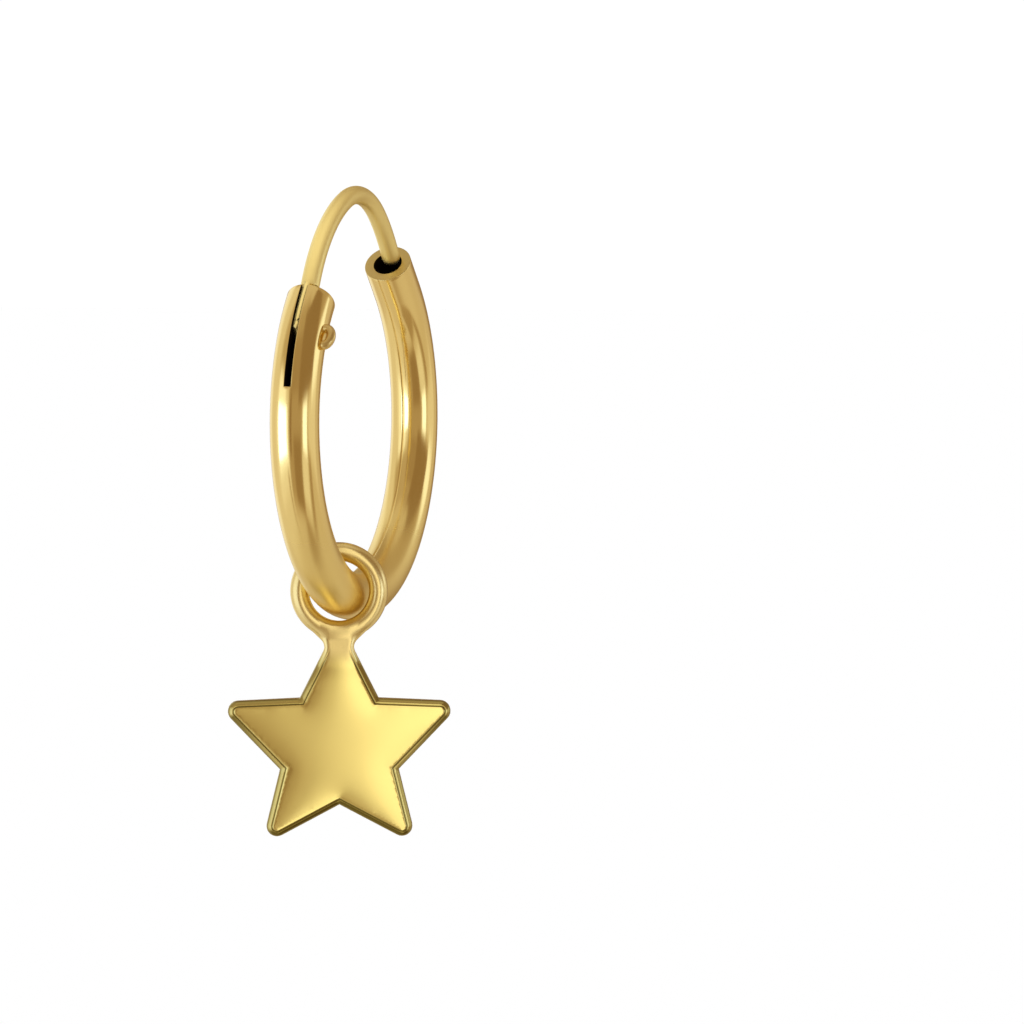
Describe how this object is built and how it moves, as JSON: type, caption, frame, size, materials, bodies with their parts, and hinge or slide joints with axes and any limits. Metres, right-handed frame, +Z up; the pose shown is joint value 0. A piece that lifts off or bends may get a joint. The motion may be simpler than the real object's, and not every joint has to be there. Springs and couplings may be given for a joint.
{
  "type": "hoop charm earring",
  "caption": "Hollow tube hoop earring with a hinged ear wire that closes into the open tube end, and a star charm that hangs from the hoop on its ring.",
  "frame": {"origin": "underside of the top of the ear wire, where the wire rests in the pierced ear", "axes": "+X along the hoop's axis, +Y from the hinge to the catch in the plane of the hoop, +Z up"},
  "size_m": [0.0064, 0.012, 0.0192],
  "materials": {
    "tube_gold": "polished",
    "pin_gold": "satin",
    "wire_gold": "satin",
    "star_gold": "polished"
  },
  "bodies": {
    "hoop": {"hoop_tube": "tube_gold", "hinge_pin": "pin_gold"},
    "wire": {"ear_wire": "wire_gold"},
    "charm": {"star_charm": "star_gold"}
  },
  "joints": [
    {"name": "wire_hinge", "type": "hinge", "parent": "hoop", "child": "wire", "pos_m": [0, -0.00446, -0.00363], "axis": [1, 0, 0], "range_deg": [0, 120]},
    {"name": "charm_swing", "type": "hinge", "parent": "hoop", "child": "charm", "pos_m": [0, -0.0014, -0.01145], "axis": [0, 0.9553, -0.2957], "range_deg": [-100, 100]}
  ]
}
